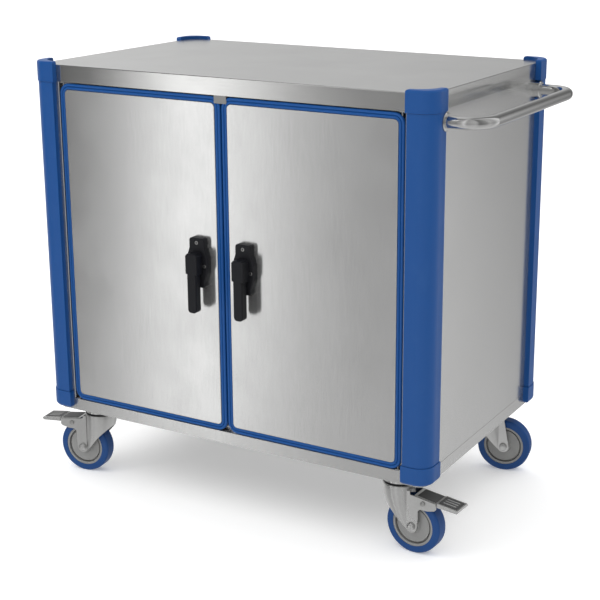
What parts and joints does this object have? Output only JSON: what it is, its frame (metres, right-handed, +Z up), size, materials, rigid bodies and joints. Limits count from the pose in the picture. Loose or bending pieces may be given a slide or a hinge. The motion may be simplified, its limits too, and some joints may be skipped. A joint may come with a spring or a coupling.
{
  "type": "cleanroom material cart",
  "caption": "Closed steel material cart with double doors, corner guards, an inside shelf, an end push handle and swivel casters with foot brakes, for moving goods in a cleanroom",
  "frame": {"origin": "on the floor, under the middle of the overall width and depth", "axes": "+X along the width towards the push handle, +Y from the doors to the back, +Z up; the doors face -Y"},
  "size_m": [1.1194, 0.6316, 0.976],
  "materials": {
    "cabinet_steel": "satin stainless sheet",
    "worktop_steel": "satin stainless sheet with a fine even grain",
    "door_steel": "satin stainless sheet with a fine upright grain",
    "small_steel": "plain bright steel",
    "polished_tube": "polished stainless tube",
    "zinc": "pressed steel, bright zinc",
    "blue_guard": "moulded blue plastic, satin gloss",
    "blue_seal": "blue rubber, satin",
    "blue_tyre": "blue elastic rubber tread",
    "hub_grey": "grey moulded wheel centre",
    "black_handle": "black, fine textured"
  },
  "bodies": {
    "cabinet": {"back_panel": "cabinet_steel", "base_pan": "cabinet_steel", "base_runners": "cabinet_steel", "bottom_cap_front_left": "blue_guard", "bottom_cap_front_right": "blue_guard", "bottom_cap_rear_left": "blue_guard", "bottom_cap_rear_right": "blue_guard", "bumper_front_left": "blue_guard", "bumper_front_right": "blue_guard", "bumper_rear_left": "blue_guard", "bumper_rear_right": "blue_guard", "caster_plates": "zinc", "centre_post": "cabinet_steel", "centre_tab": "small_steel", "handle_flanges": "polished_tube", "hinge_brackets": "small_steel", "push_handle": "polished_tube", "shelf": "cabinet_steel", "shelf_brackets": "cabinet_steel", "side_panel_left": "cabinet_steel", "side_panel_right": "cabinet_steel", "top_cap_front_left": "blue_guard", "top_cap_front_right": "blue_guard", "top_cap_rear_left": "blue_guard", "top_cap_rear_right": "blue_guard", "top_rail": "cabinet_steel", "worktop": "worktop_steel"},
    "door_left": {"door_gasket_left": "blue_seal", "door_hinge_leaves_left": "small_steel", "door_liner_left": "cabinet_steel", "door_skin_left": "door_steel", "latch_base_left": "black_handle"},
    "lever_left": {"latch_cam_left": "small_steel", "lever_left": "black_handle"},
    "door_right": {"door_gasket_right": "blue_seal", "door_hinge_leaves_right": "small_steel", "door_liner_right": "cabinet_steel", "door_skin_right": "door_steel", "latch_base_right": "black_handle"},
    "lever_right": {"latch_cam_right": "small_steel", "lever_right": "black_handle"},
    "swivel_front_left": {"fork_front_left": "zinc", "axle_front_left": "zinc"},
    "wheel_front_left": {"wheel_hub_front_left": "hub_grey", "tyre_front_left": "blue_tyre"},
    "pedal_front_left": {"brake_pedal_front_left": "zinc"},
    "swivel_front_right": {"fork_front_right": "zinc", "axle_front_right": "zinc"},
    "wheel_front_right": {"wheel_hub_front_right": "hub_grey", "tyre_front_right": "blue_tyre"},
    "pedal_front_right": {"brake_pedal_front_right": "zinc"},
    "swivel_rear_left": {"fork_rear_left": "zinc", "axle_rear_left": "zinc"},
    "wheel_rear_left": {"wheel_hub_rear_left": "hub_grey", "tyre_rear_left": "blue_tyre"},
    "swivel_rear_right": {"fork_rear_right": "zinc", "axle_rear_right": "zinc"},
    "wheel_rear_right": {"wheel_hub_rear_right": "hub_grey", "tyre_rear_right": "blue_tyre"}
  },
  "joints": [
    {"name": "door_hinge_left", "type": "hinge", "parent": "cabinet", "child": "door_left", "pos_m": [-0.42897, -0.27215, 0.5626], "axis": [0, 0, -1], "range_deg": [0, 110]},
    {"name": "lever_turn_left", "type": "hinge", "parent": "door_left", "child": "lever_left", "pos_m": [-0.07397, -0.27775, 0.578], "axis": [0, 1, 0], "range_deg": [0, 90]},
    {"name": "door_hinge_right", "type": "hinge", "parent": "cabinet", "child": "door_right", "pos_m": [0.39703, -0.27215, 0.5626], "axis": [0, 0, 1], "range_deg": [0, 110]},
    {"name": "lever_turn_right", "type": "hinge", "parent": "door_right", "child": "lever_right", "pos_m": [0.04203, -0.27775, 0.578], "axis": [0, -1, 0], "range_deg": [0, 90]},
    {"name": "swivel_front_left", "type": "hinge", "parent": "cabinet", "child": "swivel_front_left", "pos_m": [-0.40997, -0.22375, 0.15], "axis": [0, 0, 1], "continuous": true},
    {"name": "wheel_spin_front_left", "type": "hinge", "parent": "swivel_front_left", "child": "wheel_front_left", "pos_m": [-0.44958, -0.22932, 0.0625], "axis": [0.1392, -0.9903, 0], "continuous": true},
    {"name": "brake_press_front_left", "type": "hinge", "parent": "swivel_front_left", "child": "pedal_front_left", "pos_m": [-0.47632, -0.23308, 0.12], "axis": [0.1392, -0.9903, 0], "range_deg": [0, 9]},
    {"name": "swivel_front_right", "type": "hinge", "parent": "cabinet", "child": "swivel_front_right", "pos_m": [0.37803, -0.22375, 0.15], "axis": [0, 0, 1], "continuous": true},
    {"name": "wheel_spin_front_right", "type": "hinge", "parent": "swivel_front_right", "child": "wheel_front_right", "pos_m": [0.41797, -0.22584, 0.0625], "axis": [0.0523, 0.9986, 0], "continuous": true},
    {"name": "brake_press_front_right", "type": "hinge", "parent": "swivel_front_right", "child": "pedal_front_right", "pos_m": [0.44494, -0.22726, 0.12], "axis": [0.0523, 0.9986, 0], "range_deg": [0, 9]},
    {"name": "swivel_rear_left", "type": "hinge", "parent": "cabinet", "child": "swivel_rear_left", "pos_m": [-0.40997, 0.24825, 0.15], "axis": [0, 0, 1], "continuous": true},
    {"name": "wheel_spin_rear_left", "type": "hinge", "parent": "swivel_rear_left", "child": "wheel_rear_left", "pos_m": [-0.44958, 0.25382, 0.0625], "axis": [-0.1392, -0.9903, 0], "continuous": true},
    {"name": "swivel_rear_right", "type": "hinge", "parent": "cabinet", "child": "swivel_rear_right", "pos_m": [0.37803, 0.24825, 0.15], "axis": [0, 0, 1], "continuous": true},
    {"name": "wheel_spin_rear_right", "type": "hinge", "parent": "swivel_rear_right", "child": "wheel_rear_right", "pos_m": [0.4173, 0.25588, 0.0625], "axis": [-0.1908, 0.9816, 0], "continuous": true}
  ]
}
